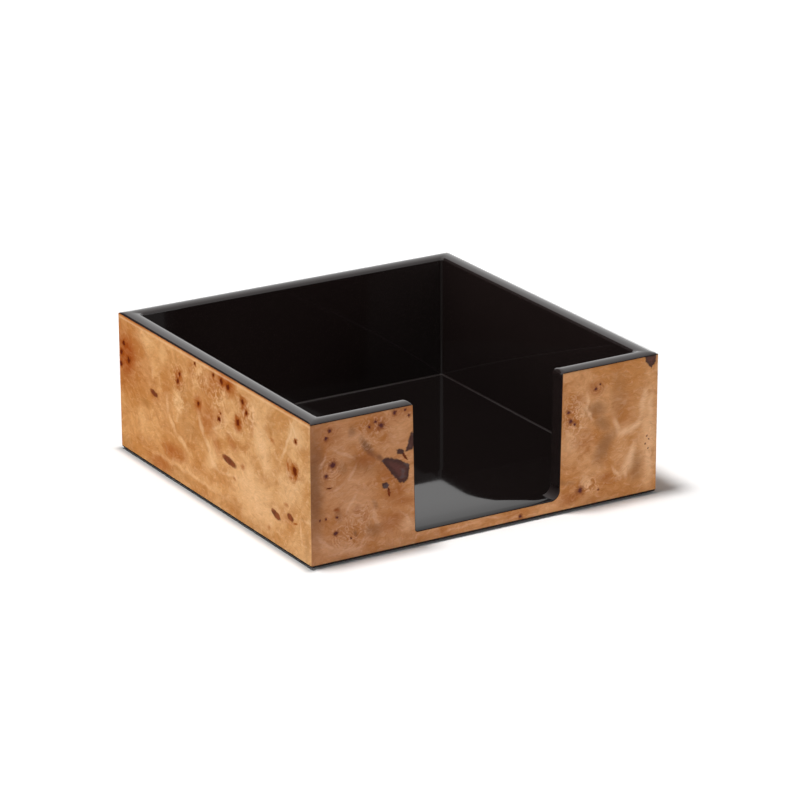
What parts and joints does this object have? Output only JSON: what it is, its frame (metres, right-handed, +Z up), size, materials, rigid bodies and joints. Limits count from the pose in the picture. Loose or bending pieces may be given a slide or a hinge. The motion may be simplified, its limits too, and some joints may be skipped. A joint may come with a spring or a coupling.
{
  "type": "napkin holder",
  "caption": "Square open-topped tray for folded napkins, with a U-shaped opening in its front wall and a flat felt base.",
  "frame": {"origin": "centre of the underside, on the surface that the felt rests on", "axes": "+Z up, -Y out of the front wall with the U-shaped opening, +X to the right as seen from the front"},
  "size_m": [0.19, 0.19, 0.0713],
  "materials": {
    "lacquered_board": "fibreboard under high-gloss black lacquer",
    "burl_veneer": "honey-brown burl veneer under clear satin lacquer",
    "felt": "black pressed felt",
    "brad_steel": "bright steel wire"
  },
  "bodies": {
    "root": {"floor_board": "lacquered_board", "front_board": "lacquered_board", "back_board": "lacquered_board", "left_board": "lacquered_board", "right_board": "lacquered_board", "front_veneer": "burl_veneer", "back_veneer": "burl_veneer", "left_veneer": "burl_veneer", "right_veneer": "burl_veneer", "corner_brads": "brad_steel", "floor_brads": "brad_steel", "felt_pad": "felt"}
  },
  "joints": []
}
